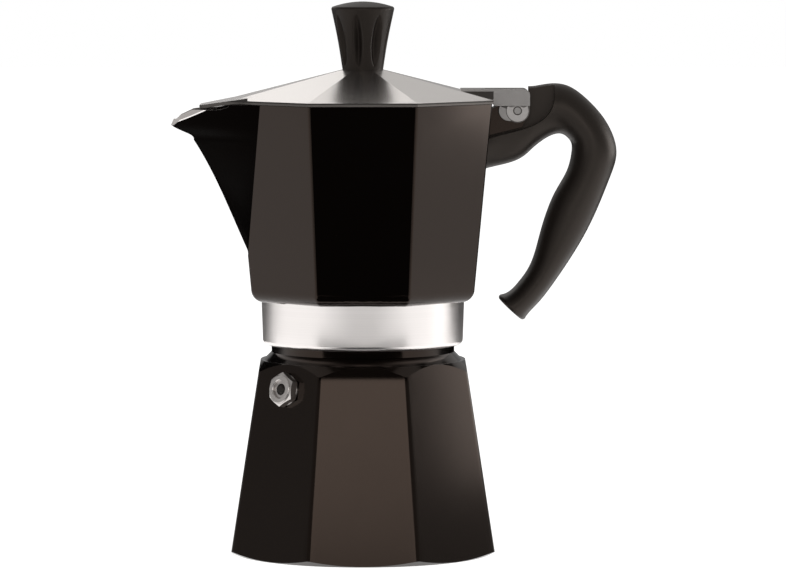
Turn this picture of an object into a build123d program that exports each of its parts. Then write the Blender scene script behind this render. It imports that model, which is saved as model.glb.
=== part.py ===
from build123d import *
import os
from math import atan, cos, degrees, radians, sin, tan

# Moka pot: an octagonal boiler, a coffee funnel and an octagonal jug with a V spout, lid and handle.
# Millimetres, +Z up, origin at the centre of the boiler's base, handle to +X, spout to -X.

# Fits
press_gap = 0.04
pin_gap = 0.05
slide_gap = 0.4
hinge_side_gap = 0.3

# Boiler
boiler_base_apothem = 51.4
boiler_taper = 11.55
boiler_side_height = 75.6
boiler_edge_radius = 2.5
boiler_floor = 4.0
boiler_wall = 3.4
boiler_floor_radius = 5.0
shoulder_rise = 3.6
shoulder_inset = 0.2
foot_inset = 0.6
foot_rise = 2.6
neck_step = 4.25
neck_fillet = 3.0
neck_height = 14.4
neck_wall = 2.4

# Pressure relief valve, on the left front facet
valve_drop = 9.6
valve_flats = 11.6
valve_head = 3.8
valve_head_chamfer = 0.5
valve_trim = 1.0
valve_shank_radius = 4.4
valve_shank_length = 6.4
valve_washer_radius = 6.0
valve_washer_thickness = 0.6
valve_chamber_radius = 3.0
valve_seat_wall = 1.2
valve_seat_radius = 1.3
valve_front_radius = 3.9
valve_front_depth = 1.1
valve_retainer_thickness = 1.0
valve_tip_radius = 1.9
valve_tip_gap = 0.35
valve_stem_radius = 1.3
valve_piston_head = 1.4
valve_piston_radius = 2.5
valve_spring_wire = 0.5
valve_spring_radius = 2.2
valve_spring_turns = 5

# Funnel
funnel_flange = 1.0
funnel_flange_inset = 0.6
funnel_wall = 0.8
funnel_depth = 24.0
funnel_ledge = 3.0
funnel_cone_height = 8.0
funnel_sleeve = 6.0
tube_radius = 4.8
tube_wall = 0.9
tube_floor_gap = 4.0
strainer_thickness = 0.6
perforation_radius = 1.1
strainer_rings = 4
filter_rings = 4

# Gasket and filter plate
gasket_height = 3.5
gasket_inset = 0.2
gasket_width = 6.8
filter_thickness = 0.6
filter_depth = 2.6
filter_slope = 2.6

# Collector: skirt ring, jug, column
skirt_wall = 3.3
skirt_taper = 0.6
skirt_foot_round = 2.0
skirt_depth = 13.1
thread_gap = 0.6
seat_to_jug = 4.3
jug_rim_inset = 1.6
jug_flare = 7.1
jug_height = 76.7
jug_wall = 2.4
jug_floor = 3.2
jug_edge_radius = 1.6
jug_bottom_round = 5.2
column_base_radius = 9.0
column_top_radius = 6.5
column_bore = 4.0
column_height = 51.0
column_mouth_rise = 3.4
cap_wall = 1.0
cap_overlap = 7.0
cap_window_height = 6.0
cap_window_width = 6.0
cap_crown = 2.0

# Spout
spout_height = 58.5
spout_slope = 0.445
spout_curve_rise = 24.0
spout_curve = 0.0045
spout_lip_rise = 44.0
spout_lip_curve = 0.15
spout_tip_drop = 8.7
spout_nose_width = 3.2
spout_nose_flare = 2.0
spout_overlap = 0.02
spout_side_reach = 12.7
spout_dip_start = 0.4
spout_dip_under_lid = (13.5, 2.4)
spout_dip_lip = (19.2, 3.1)
spout_dip_reach = 0.5
spout_dip_fall = 0.2
lip_bevel_climb = 1.08
lip_bevel_rise = 2.2

# Lid
lid_overhang = 0.5
lid_rest_gap = 0.2
lid_rim_height = 1.3
lid_rise = 11.2
lid_wall = 1.5
lid_top_apothem = 8.3
lip_gap = 0.6
lip_wall = 1.2
lip_depth = 2.0
tongue_reach = 13.0
tongue_drop = 2.2
tongue_thickness = 1.4
tongue_end_width = 20.0
tongue_end_round = 6.0

# Hinge, measured from the pin
hinge_reach = 10.1
hinge_drop = 2.9
pin_radius = 1.3
ear_half_outer = 9.5
ear_thickness = 3.0
ear_step = 0.3
ear_radius = 4.7
ear_block_left = 9.3
ear_block_right = 4.8
ear_block_bottom = 1.9
tab_bottom = 7.1
tab_top = 8.3
tab_root_length = 21.9
tab_slot_length = 12.3
tab_end_round = 2.4
bracket_thickness = 3.1
bracket_radius = 4.4
bracket_bottom = 9.9
bracket_toe_in = 2.5
bracket_toe_drop = 2.0

# Handle, measured from the pin
web_thickness = 6.0
web_nose_radius = 4.4
web_front = 4.4
web_toe = 7.0
web_bottom = 18.0
web_back = 20.0
handle_seat_gap = 0.05
handle_width = 21.0
handle_end_round = 1.1
handle_section_points = 12

# Knob
knob_height = 26.5
knob_foot_radius = 7.9
knob_top_radius = 12.25
knob_crown = 2.3
knob_edge_round = 1.0
flute_count = 8
flute_length = 19.0
flute_depth = 1.5
flute_width = 4.8
flute_turn = 12.5
insert_radius = 3.6
insert_length = 10.0
screw_radius = 2.0
screw_head_radius = 3.8
screw_head_height = 2.4
screw_slot_width = 1.0
screw_slot_depth = 0.8
screw_clearance = 0.3
screw_tip = 1.0
washer_radius = 5.5
washer_thickness = 0.8

# Levels and places that follow from the sizes
facet_half_angle = radians(22.5)
boiler_top_apothem = boiler_base_apothem - boiler_taper
neck_radius = boiler_top_apothem - neck_step
neck_top = boiler_side_height + neck_height
neck_bore = neck_radius - neck_wall
cup_radius = neck_bore - slide_gap
funnel_flange_radius = neck_radius - funnel_flange_inset
flange_top = neck_top + funnel_flange
gasket_radius = neck_radius - gasket_inset
gasket_bore = gasket_radius - gasket_width
filter_flat_radius = gasket_bore - filter_slope
seat_z = flange_top + gasket_height
skirt_foot = seat_z - skirt_depth
skirt_bore = neck_radius + thread_gap
skirt_radius = skirt_bore + skirt_wall
skirt_foot_radius = skirt_radius - skirt_taper
jug_base = seat_z + seat_to_jug
rim_z = jug_base + jug_height
jug_rim_apothem = boiler_base_apothem - jug_rim_inset
jug_base_apothem = jug_rim_apothem - jug_flare
boiler_slope = (boiler_base_apothem - boiler_top_apothem) / boiler_side_height
jug_slope = (jug_rim_apothem - jug_base_apothem) / jug_height
lid_rim_bottom = rim_z + lid_rest_gap
lid_rim_top = lid_rim_bottom + lid_rim_height
lid_apothem = jug_rim_apothem + lid_overhang
lid_top = lid_rim_top + lid_rise
pin_x = jug_rim_apothem + hinge_reach
pin_z = rim_z - hinge_drop


def octagon(apothem, z):
    return Pos(0, 0, z) * RegularPolygon(apothem, 8, major_radius=False, rotation=22.5)


def octagon_tower(*levels):
    """Solid through octagons given as (apothem, z) from bottom to top, with flat facets."""
    return loft([octagon(apothem, z) for apothem, z in levels], ruled=True)


def turned(*points):
    """Solid of revolution about Z through (radius, z) points."""
    return revolve(make_face(Plane.XZ * Polyline(*points, close=True)), Axis.Z)


def ring(outer, inner, bottom, height):
    return Pos(0, 0, bottom + height / 2) * (
        Cylinder(outer, height) - Cylinder(inner, height)
    )


def disc(radius, bottom, height):
    return Pos(0, 0, bottom + height / 2) * Cylinder(radius, height)


def side_slab(outline, half_low, half_high):
    """The X-Z outline as two slabs, one on each side of the middle plane."""
    slab = extrude(Plane.XZ * outline, half_high - half_low, dir=(0, -1, 0))
    near = Pos(0, -half_low, 0) * slab
    return near + mirror(near, Plane.XZ)


def middle_slab(outline, half_width):
    return extrude(Plane.XZ * outline, half_width, dir=(0, 1, 0), both=True)


def at_pin(*points):
    """Outline points given from the hinge pin, as X-Z points of the part."""
    return [(pin_x + x, pin_z + z) for x, z in points]


def pin_disc(radius):
    return Pos(pin_x, pin_z) * Circle(radius)


def rounded_verticals(solid, radius):
    slanted = [e for e in solid.edges() if e.bounding_box().size.Z > solid.bounding_box().size.Z / 2]
    return fillet(slanted, radius)


def perforations(rings, radius):
    """Centre hole and rings of six, twelve, eighteen and more holes, evenly spread out to the radius."""
    spots = [(0, 0)]
    for index in range(1, rings + 1):
        reach = radius * index / (rings + 0.5)
        count = 6 * index
        for hole in range(count):
            angle = radians(360 * hole / count)
            spots.append((reach * cos(angle), reach * sin(angle)))
    return [Pos(x, y) * Circle(perforation_radius) for x, y in spots]


def boiler_apothem(z):
    return boiler_base_apothem - boiler_slope * z


# Plane of the valve: on the facet, Z outward along the valve's axis, Y up the facet
valve_z = boiler_side_height - valve_drop
valve_turn = radians(225)
valve_tilt = atan(boiler_slope)
valve_seat = Plane(
    origin=(
        boiler_apothem(valve_z) * cos(valve_turn),
        boiler_apothem(valve_z) * sin(valve_turn),
        valve_z,
    ),
    x_dir=(-sin(valve_turn), cos(valve_turn), 0),
    z_dir=(
        cos(valve_tilt) * cos(valve_turn),
        cos(valve_tilt) * sin(valve_turn),
        sin(valve_tilt),
    ),
)
valve_front = valve_washer_thickness + valve_head
valve_retainer_front = valve_front - valve_front_depth
valve_retainer_back = valve_retainer_front - valve_retainer_thickness
valve_chamber_back = valve_seat_wall - valve_shank_length
valve_piston_back = valve_chamber_back + valve_piston_head


def boiler():
    tower = octagon_tower((boiler_base_apothem, 0), (boiler_top_apothem, boiler_side_height))
    tower = rounded_verticals(tower, boiler_edge_radius)
    corner = boiler_base_apothem / cos(facet_half_angle) + foot_inset
    foot_reach = boiler_base_apothem - foot_inset
    foot_height = foot_rise * (corner - foot_reach) / (corner - boiler_base_apothem)
    envelope = turned(
        (0, 0),
        (foot_reach, 0),
        (corner, foot_height),
        (corner, boiler_side_height + boiler_top_apothem - corner),
        (boiler_top_apothem, boiler_side_height),
        (0, boiler_side_height),
    )
    neck = turned(
        (0, boiler_side_height - shoulder_rise),
        (boiler_top_apothem - shoulder_inset, boiler_side_height - shoulder_rise),
        (boiler_top_apothem - shoulder_inset, boiler_side_height),
        (neck_radius + neck_fillet, boiler_side_height),
        (neck_radius, boiler_side_height + neck_fillet),
        (neck_radius, neck_top),
        (0, neck_top),
    )
    floor_reach = boiler_apothem(boiler_floor) - boiler_wall
    shoulder_z = boiler_side_height - shoulder_rise
    shoulder_reach = boiler_apothem(shoulder_z) - boiler_wall
    hollow = turned(
        (0, boiler_floor),
        (floor_reach - boiler_floor_radius, boiler_floor),
        (floor_reach, boiler_floor + boiler_floor_radius),
        (shoulder_reach, shoulder_z),
        (neck_bore, boiler_side_height),
        (neck_bore, neck_top),
        (0, neck_top),
    )
    bore = valve_seat * Cylinder(valve_shank_radius + press_gap, 4 * boiler_wall)
    return (tower & envelope) + neck - hollow - bore


def valve_local(outline):
    return valve_seat * revolve(make_face(Plane.XZ * Polyline(*outline, close=True)), Axis.Z)


def valve_body():
    head = valve_seat.offset(valve_washer_thickness) * extrude(
        RegularPolygon(valve_flats / 2, 6, major_radius=False, rotation=30), valve_head
    )
    corner = valve_flats / 2 / cos(radians(30))
    turned_head = valve_local([
        (0, -valve_shank_length),
        (corner + valve_trim, -valve_shank_length),
        (corner + valve_trim, valve_front - valve_head_chamfer - valve_trim),
        (valve_flats / 2 - valve_head_chamfer, valve_front),
        (0, valve_front),
    ])
    shank = valve_local([
        (0, -valve_shank_length),
        (valve_shank_radius, -valve_shank_length),
        (valve_shank_radius, valve_front / 2),
        (0, valve_front / 2),
    ])
    hollow = valve_local([
        (0, -valve_shank_length),
        (valve_seat_radius, -valve_shank_length),
        (valve_seat_radius, valve_chamber_back),
        (valve_chamber_radius, valve_chamber_back),
        (valve_chamber_radius, valve_retainer_back),
        (valve_front_radius, valve_retainer_back),
        (valve_front_radius, valve_front),
        (0, valve_front),
    ])
    return (head & turned_head) + shank - hollow


def valve_washer():
    return valve_local([
        (valve_shank_radius + press_gap, 0),
        (valve_washer_radius, 0),
        (valve_washer_radius, valve_washer_thickness),
        (valve_shank_radius + press_gap, valve_washer_thickness),
    ])


def valve_retainer():
    bore = valve_tip_radius + valve_tip_gap
    rim = valve_front_radius - press_gap
    return valve_local([
        (bore, valve_retainer_back),
        (rim, valve_retainer_back),
        (rim, valve_retainer_front),
        (bore, valve_retainer_front),
    ])


def valve_piston():
    return valve_local([
        (0, valve_chamber_back),
        (valve_piston_radius, valve_chamber_back),
        (valve_piston_radius, valve_piston_back),
        (valve_stem_radius, valve_piston_back),
        (valve_stem_radius, valve_retainer_back - valve_retainer_thickness),
        (valve_tip_radius, valve_retainer_back),
        (valve_tip_radius, valve_retainer_front),
        (valve_stem_radius, valve_retainer_front + valve_front_depth / 2),
        (0, valve_retainer_front + valve_front_depth / 2),
    ])


def valve_spring():
    room = valve_retainer_back - valve_piston_back
    rise = room - valve_spring_wire - 2 * press_gap
    coil = Helix(rise / valve_spring_turns, rise, valve_spring_radius)
    wire = Plane(coil @ 0, z_dir=coil % 0) * Circle(valve_spring_wire / 2)
    start = valve_piston_back + valve_spring_wire / 2 + press_gap
    return valve_seat * Pos(0, 0, start) * sweep(wire, coil, is_frenet=True)


cup_floor = flange_top - funnel_depth
cone_foot = cup_floor - funnel_cone_height
sleeve_foot = cone_foot - funnel_sleeve
sleeve_bore = tube_radius + press_gap


def funnel_cup():
    return turned(
        (cup_radius - funnel_wall, flange_top),
        (funnel_flange_radius, flange_top),
        (funnel_flange_radius, neck_top),
        (cup_radius, neck_top),
        (cup_radius, cup_floor - funnel_wall),
        (cup_radius - funnel_ledge, cup_floor - funnel_wall),
        (sleeve_bore + funnel_wall, cone_foot - funnel_wall),
        (sleeve_bore + funnel_wall, sleeve_foot),
        (sleeve_bore, sleeve_foot),
        (sleeve_bore, cone_foot),
        (cup_radius - funnel_ledge - funnel_wall, cup_floor),
        (cup_radius - funnel_wall, cup_floor),
    )


def funnel_tube():
    foot = boiler_floor + tube_floor_gap
    return ring(tube_radius, tube_radius - tube_wall, foot, cone_foot - foot)


def funnel_strainer():
    radius = cup_radius - funnel_wall - press_gap
    plate = Circle(radius) - perforations(strainer_rings, radius - funnel_ledge)
    return extrude(Pos(0, 0, cup_floor) * plate, strainer_thickness)


def gasket():
    return ring(gasket_radius, gasket_bore, flange_top, gasket_height)


def filter_plate():
    rim = gasket_bore - press_gap
    floor = seat_z - filter_depth
    plate = Circle(filter_flat_radius) - perforations(filter_rings, filter_flat_radius)
    wall = turned(
        (filter_flat_radius, floor),
        (rim, seat_z - filter_thickness),
        (rim, seat_z),
        (rim - filter_thickness, seat_z),
        (filter_flat_radius, floor + filter_thickness),
    )
    return extrude(Pos(0, 0, floor) * plate, filter_thickness) + wall


def jug_apothem(z):
    return jug_base_apothem + jug_slope * (z - jug_base)


spout_root = rim_z - spout_height
spout_tip = rim_z - spout_tip_drop


def spout_ridge(z):
    """X of the spout's front ridge at a height: a beak that flares into a pouring lip."""
    rise = min(z, spout_tip) - spout_root
    reach = spout_slope * rise + spout_curve * max(0, rise - spout_curve_rise) ** 2
    reach += spout_lip_curve * max(0, rise - spout_lip_rise) ** 2
    return -jug_apothem(spout_root) - reach - max(0, z - spout_tip)


def spout_edge(z, inset):
    """Point where the spout's side leaves the diagonal facet at a height."""
    share = (z - spout_root) / spout_height
    corner = jug_apothem(spout_root) * tan(facet_half_angle)
    y = corner + spout_side_reach * share - inset * (tan(facet_half_angle) + share / 3)
    return Vector(y - (jug_apothem(z) - inset) / cos(radians(45)), y)


def spout_lean(side, nose_x):
    """Half angle of the V between a side point and the nose, kept just short of flat."""
    return radians(min(Vector(side.X - nose_x, side.Y).get_angle(Vector(1, 0)), 89.5))


def spout_section(z, inset):
    """Level section: two straight sides from the diagonal facets to a rounded nose."""
    side = spout_edge(z, inset)
    nose = spout_nose_width + spout_nose_flare * ((z - spout_root) / spout_height) ** 4
    nose_x = spout_ridge(z) + inset / sin(spout_lean(spout_edge(z, 0), spout_ridge(z)))
    lean = spout_lean(side, nose_x)
    apex_x = nose_x - nose * (1 - sin(lean)) / cos(lean)
    tangent = Vector(apex_x + nose * cos(lean), nose * sin(lean))
    inner = Vector(side.X + jug_wall, side.Y - 2 * jug_wall)
    outline = Line((side.X, -side.Y), (tangent.X, -tangent.Y))
    outline += ThreePointArc((tangent.X, -tangent.Y), (nose_x, 0), (tangent.X, tangent.Y))
    outline += Polyline(
        (tangent.X, tangent.Y), (side.X, side.Y), (inner.X, inner.Y), (inner.X, -inner.Y), (side.X, -side.Y)
    )
    return Pos(0, 0, z) * make_face(outline)


def jug_tower(inset, bottom, top):
    """Octagonal body of the jug with a rounded bottom edge, drawn in all round by the inset."""
    tower = octagon_tower((jug_apothem(bottom) - inset, bottom), (jug_apothem(top) - inset, top))
    return fillet(tower.faces().sort_by(Axis.Z)[0].edges(), jug_bottom_round)


def with_spout(tower, inset, top):
    """The tower with its spout side replaced by the V of the spout: a straight beak and a flared lip."""
    low = spout_edge(spout_root, inset).X
    high = spout_edge(top, inset).X
    far = 2 * spout_ridge(spout_tip)
    side = Polyline((low, spout_root), (high, top), (far, top), (far, spout_root), close=True)
    body = tower - middle_slab(make_face(side), jug_rim_apothem)
    knee = spout_root + spout_lip_rise
    beak = [spout_root + spout_lip_rise * step / 3 for step in range(4)]
    lip = [knee + (top - knee) * step / 5 for step in range(6)]
    for levels in (beak, lip):
        body += Pos(spout_overlap, 0, 0) * loft([spout_section(z, inset) for z in levels])
    return body


def rim_dip():
    """Everything above the spout's rim, which falls in a curve from the jug's rim to the spout's tip."""
    start = (-jug_rim_apothem - spout_dip_start, rim_z)
    bends = [(-jug_rim_apothem - reach, rim_z - drop) for reach, drop in (spout_dip_under_lid, spout_dip_lip)]
    tip = (spout_ridge(spout_tip) - spout_dip_reach, spout_tip - spout_dip_fall)
    far = 2 * tip[0]
    high = rim_z + jug_height
    outline = Spline(start, *bends, tip)
    outline += Polyline(tip, (far, tip[1]), (far, high), (start[0], high), start)
    return middle_slab(make_face(outline), jug_rim_apothem)


def lip_bevel():
    """Slanted cut along one side of the lip, which thins its rim to a pouring edge."""
    tip = Vector(spout_ridge(spout_tip), 0, spout_tip)
    side = spout_edge(spout_tip, 0)
    along = Vector(side.X - tip.X, side.Y, 0).normalized()
    line = along + Vector(0, 0, lip_bevel_climb)
    inward = Vector(along.Y, -along.X, lip_bevel_rise)
    plane = Plane(origin=tip, x_dir=line, z_dir=inward.cross(line))
    return plane * Box(jug_height, jug_height, jug_height, align=(Align.CENTER, Align.CENTER, Align.MIN))


def hinge_bracket():
    """Two cheeks on the jug's handle side that carry the hinge pin and hold the handle's web."""
    root = -hinge_reach - jug_wall
    outline = make_face(Polyline(
        *at_pin(
            (root, 0), (0, bracket_radius), (bracket_radius, 0),
            (bracket_radius - bracket_toe_in, -bracket_radius - bracket_toe_drop), (root, -bracket_bottom),
        ),
        close=True,
    ))
    outline += pin_disc(bracket_radius)
    low = web_thickness / 2 + press_gap
    cheeks = side_slab(outline, low, low + bracket_thickness)
    return cheeks - middle_slab(pin_disc(pin_radius + press_gap), ear_half_outer)


def collector():
    jug = rounded_verticals(jug_tower(0, jug_base, rim_z), jug_edge_radius)
    jug = with_spout(jug, 0, rim_z)
    skirt = turned(
        (0, skirt_foot),
        (skirt_foot_radius, skirt_foot),
        (skirt_radius, jug_base),
        (skirt_radius, jug_base + jug_floor / 2),
        (0, jug_base + jug_floor / 2),
    )
    foot_edge = skirt.edges().filter_by(GeomType.CIRCLE).sort_by(Axis.Z)[0]
    skirt = fillet(foot_edge, skirt_foot_round)
    floor_z = jug_base + jug_floor
    mouth = rim_z + jug_wall
    hollow = with_spout(jug_tower(jug_wall, floor_z, mouth), jug_wall, mouth)
    column_top = jug_base + column_height
    column = turned(
        (0, jug_base),
        (column_base_radius, jug_base),
        (column_base_radius, floor_z),
        (column_top_radius, column_top - cap_overlap),
        (column_top_radius, column_top),
        (0, column_top),
    )
    under = turned(
        (0, boiler_side_height),
        (skirt_bore, boiler_side_height),
        (skirt_bore, seat_z),
        (filter_flat_radius, seat_z),
        (column_bore, seat_z + column_mouth_rise),
        (column_bore, rim_z),
        (0, rim_z),
    )
    body = jug + hinge_bracket() + skirt - hollow + column - under
    bevel = lip_bevel()
    return body - rim_dip() - bevel - mirror(bevel, about=Plane.XZ)


def column_cap():
    """Cap pressed on the column, with two windows that throw the coffee sideways."""
    column_top = jug_base + column_height
    bore = column_top_radius + press_gap
    outer = bore + cap_wall
    window_foot = column_top + cap_wall
    roof = window_foot + cap_window_height
    crown = roof + cap_wall + cap_crown
    body = turned(
        (0, column_top - cap_overlap),
        (outer, column_top - cap_overlap),
        (outer, roof + cap_wall),
        (outer / 2, crown),
        (0, crown),
    )
    hollow = turned(
        (0, column_top - cap_overlap),
        (bore, column_top - cap_overlap),
        (bore, column_top),
        (column_bore, column_top),
        (bore - cap_wall, window_foot),
        (bore - cap_wall, roof),
        (0, roof),
    )
    windows = Pos(0, 0, window_foot + cap_window_height / 2) * Box(
        4 * outer, cap_window_width, cap_window_height
    )
    return body - hollow - windows


def lid_shell():
    outer = octagon_tower(
        (lid_apothem, lid_rim_bottom),
        (lid_apothem, lid_rim_top),
        (lid_top_apothem, lid_top),
    )
    return outer


def lid_hollow():
    return octagon_tower(
        (lid_apothem - lid_wall, lid_rim_bottom),
        (lid_apothem - lid_wall, lid_rim_top - lid_wall / 2),
        (lid_top_apothem, lid_top - lid_wall),
    )


def lid_tongue():
    """Plate that covers the root of the spout."""
    rim_x = -lid_apothem
    end_x = rim_x - tongue_reach
    wide = lid_apothem * tan(facet_half_angle) + tongue_end_round
    inner_x = wide - lid_apothem / cos(radians(45))
    plan = make_face(Polyline(
        (inner_x, -wide), (end_x, -tongue_end_width / 2), (end_x, tongue_end_width / 2), (inner_x, wide),
        close=True,
    ))
    tips = plan.vertices().filter_by_position(Axis.X, end_x - 0.1, end_x + 0.1)
    plan = fillet(tips, tongue_end_round)
    lean = tongue_drop / tongue_reach
    inner_top = lid_rim_top + lean * (inner_x - rim_x)
    end_top = lid_rim_top - tongue_drop
    profile = make_face(Polyline(
        (inner_x, inner_top), (end_x - 1, end_top - lean),
        (end_x - 1, end_top - lean - tongue_thickness), (inner_x, inner_top - tongue_thickness),
        close=True,
    ))
    column = extrude(Pos(0, 0, rim_z - jug_height / 4) * plan, jug_height / 2)
    return column & middle_slab(profile, lid_apothem)


def hinge_ears():
    """Forked tab and the two ears that turn on the pin."""
    tab_end = ear_block_right - tab_end_round
    tab = make_face(Polyline(
        *at_pin(
            (-tab_root_length, tab_bottom), (-tab_root_length, tab_top),
            (tab_end, tab_top), (tab_end, tab_bottom),
        ),
        close=True,
    ))
    root = make_face(Polyline(
        *at_pin(
            (-tab_root_length, tab_top), (-ear_block_left, tab_top),
            (-ear_block_left, hinge_drop + lid_rest_gap), (-tab_root_length, hinge_drop + lid_rest_gap),
        ),
        close=True,
    ))
    block = make_face(Polyline(
        *at_pin(
            (-ear_block_left, ear_block_bottom), (-ear_block_left, tab_top),
            (ear_block_right, tab_top), (ear_block_right, ear_block_bottom),
        ),
        close=True,
    ))
    block = fillet(block.vertices().sort_by(Axis.X)[-2:].sort_by(Axis.Y)[-1], tab_end_round)
    leaf = make_face(Polyline(
        *at_pin(
            (-ear_radius, 0), (-ear_radius, tab_bottom),
            (ear_radius, tab_bottom), (ear_radius, 0),
        ),
        close=True,
    )) + pin_disc(ear_radius)
    inner_low = ear_half_outer - ear_thickness
    slot_half = web_thickness / 2 + hinge_side_gap + press_gap
    shape = middle_slab(tab + root, ear_half_outer)
    shape += side_slab(block, inner_low, ear_half_outer)
    shape += side_slab(leaf, inner_low, ear_half_outer - ear_step)
    slot_length = tab_slot_length + 2 * ear_block_right
    slot = Pos(pin_x - tab_slot_length + slot_length / 2, 0, pin_z) * Box(
        slot_length, 2 * slot_half, 4 * tab_top
    )
    return shape, slot


def lid():
    hollow = lid_hollow()
    outer = lid_shell()
    lip_apothem = jug_rim_apothem - jug_wall - lip_gap
    lip_foot = rim_z - lip_depth
    lip = octagon_tower((lip_apothem, lip_foot), (lip_apothem, lid_top))
    lip -= octagon_tower((lip_apothem - lip_wall, lip_foot), (lip_apothem - lip_wall, lid_top))
    lip_shadow = octagon_tower((lip_apothem, lip_foot), (lip_apothem, lid_rim_top)) + outer
    spout_side = Pos(-lid_apothem, 0, lip_foot) * Box(lid_apothem / 2, lid_apothem * 1.3, 4 * lid_rise)
    lip = (lip & lip_shadow) - spout_side
    ears, slot = hinge_ears()
    shell = outer + ears - hollow + lip + lid_tongue()
    shell -= hollow & spout_side
    shell -= slot
    shell -= middle_slab(pin_disc(pin_radius + pin_gap), 2 * ear_half_outer)
    return shell - disc(screw_radius + screw_clearance, lid_rim_top, 2 * lid_rise)


def hinge_pin():
    return middle_slab(pin_disc(pin_radius), ear_half_outer - ear_step)


def knob_profile():
    """Half section of the knob: a cone that widens upward under a low dome."""
    top = lid_top + knob_height
    rim = top - knob_crown
    dome_radius = (knob_top_radius ** 2 + knob_crown ** 2) / (2 * knob_crown)
    half = knob_top_radius / 2
    half_drop = dome_radius - (dome_radius ** 2 - half ** 2) ** 0.5
    outline = Polyline((0, top), (0, lid_top), (knob_foot_radius, lid_top), (knob_top_radius, rim))
    outline += ThreePointArc((knob_top_radius, rim), (half, top - half_drop), (0, top))
    profile = make_face(outline)
    return fillet(profile.vertices().sort_by(Axis.X)[-1], knob_edge_round)


def knob():
    body = revolve(Plane.XZ * knob_profile(), Axis.Z)
    half = flute_length / 2
    cut_radius = (flute_width ** 2 / 4 + flute_depth ** 2) / (2 * flute_depth)
    arc = ThreePointArc((0, -half), (cut_radius, 0), (0, half)) + Line((0, half), (0, -half))
    lemon = revolve(make_face(Plane.XZ * arc), Axis.Z)
    rim = knob_height - knob_crown
    lean = degrees(atan((knob_top_radius - knob_foot_radius) / rim))
    middle_radius = (knob_foot_radius + knob_top_radius) / 2 + cut_radius - flute_depth
    for index in range(flute_count):
        turn = flute_turn + 360 * index / flute_count
        body -= Rot(0, 0, turn) * Pos(middle_radius, 0, lid_top + rim / 2) * Rot(0, lean, 0) * lemon
    pocket = disc(insert_radius + press_gap, lid_top, insert_length)
    tip = disc(screw_radius + screw_clearance, lid_top, insert_length + 2 * screw_tip)
    return body - pocket - tip


def knob_insert():
    return ring(insert_radius, screw_radius + press_gap, lid_top, insert_length)


def knob_washer():
    foot = lid_top - lid_wall - washer_thickness
    return ring(washer_radius, screw_radius + press_gap, foot, washer_thickness)


def knob_screw():
    head_top = lid_top - lid_wall - washer_thickness
    head = disc(screw_head_radius, head_top - screw_head_height, screw_head_height)
    head = fillet(head.edges().sort_by(Axis.Z)[0], screw_head_height / 3)
    shank = disc(screw_radius, head_top, lid_top + insert_length + screw_tip - head_top)
    slot = Pos(0, 0, head_top - screw_head_height) * Box(
        3 * screw_head_radius, screw_slot_width, 2 * screw_slot_depth
    )
    return head + shank - slot


# Stations of the handle, from the pin: outer point, inner point and width of each oval section
handle_stations = [
    ((-14.0, 5.0), (-14.0, -26.6), 15.0),
    ((-3.0, 7.5), (-2.4, -20.4), 15.5),
    ((4.5, 9.3), (6.1, -14.9), 16.0),
    ((12.6, 10.3), (12.5, -10.3), 17.0),
    ((19.6, 9.5), (16.5, -9.2), 18.0),
    ((27.5, 4.0), (19.4, -10.5), 19.5),
    ((34.8, -4.6), (21.1, -12.8), 20.5),
    ((38.8, -15.9), (21.2, -16.6), 21.0),
    ((36.8, -24.9), (19.9, -22.4), 21.0),
    ((31.0, -39.3), (14.7, -32.2), 21.0),
    ((24.0, -52.9), (9.3, -46.9), 20.5),
    ((15.3, -66.2), (5.4, -59.8), 19.5),
    ((8.2, -75.4), (0.3, -67.5), 19.6),
    ((2.7, -82.4), (-8.9, -71.7), 20.2),
]

# Edge of the handle's recess for the hinge, from the pin
recess_edge = [(-15.0, -12.8), (3.5, -6.9), (9.8, -3.7), (14.5, 6.8)]


def handle_section(outer, inner, width):
    """Oval across the handle between a point on its outer and one on its inner edge."""
    along = Vector(outer[0] - inner[0], 0, outer[1] - inner[1]) / 2
    across = Vector(0, width / 2, 0)
    centre = Vector(pin_x + (outer[0] + inner[0]) / 2, 0, pin_z + (outer[1] + inner[1]) / 2)
    turns = [radians(360 * step / handle_section_points) for step in range(handle_section_points)]
    ring = [centre + along * cos(turn) + across * sin(turn) for turn in turns]
    return make_face(Spline(*ring, periodic=True))


def handle():
    body = loft([handle_section(*station) for station in handle_stations])
    end = body.faces().filter_by(GeomType.PLANE).sort_by(Axis.Z)[0]
    body = fillet(end.edges(), handle_end_round)
    top = 2 * tab_top
    left, right = recess_edge[0][0], recess_edge[-1][0]
    recess = Spline(*at_pin(*recess_edge))
    recess += Polyline(*at_pin(recess_edge[-1], (right, top), (left, top), recess_edge[0]))
    nose = make_face(Polyline(
        *at_pin(
            (-web_nose_radius, 0), (-web_nose_radius, -web_toe), (left, -web_toe), (left, -web_bottom),
            (web_back, -web_bottom), (web_back, top), (web_front, top), (web_front, 0),
        ),
        close=True,
    )) + pin_disc(web_nose_radius)
    web = body & middle_slab(nose, web_thickness / 2)
    body = body - middle_slab(make_face(recess), handle_width) + web
    low = pin_z - jug_height
    high = pin_z + 2 * tab_top
    wall = make_face(Polyline(
        (jug_apothem(low) + handle_seat_gap, low), (jug_apothem(high) + handle_seat_gap, high),
        (0, high), (0, low),
        close=True,
    ))
    body -= middle_slab(wall, handle_width)
    return body - middle_slab(pin_disc(pin_radius + press_gap), handle_width)


pieces = (
    boiler, valve_body, valve_washer, valve_retainer, valve_piston, valve_spring,
    funnel_cup, funnel_tube, funnel_strainer, gasket, filter_plate,
    collector, column_cap, handle, hinge_pin,
    lid, knob, knob_insert, knob_washer, knob_screw,
)

os.makedirs("parts", exist_ok=True)
for piece in pieces:
    export_step(piece(), f"parts/{piece.__name__}.step")
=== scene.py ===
import math

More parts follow.
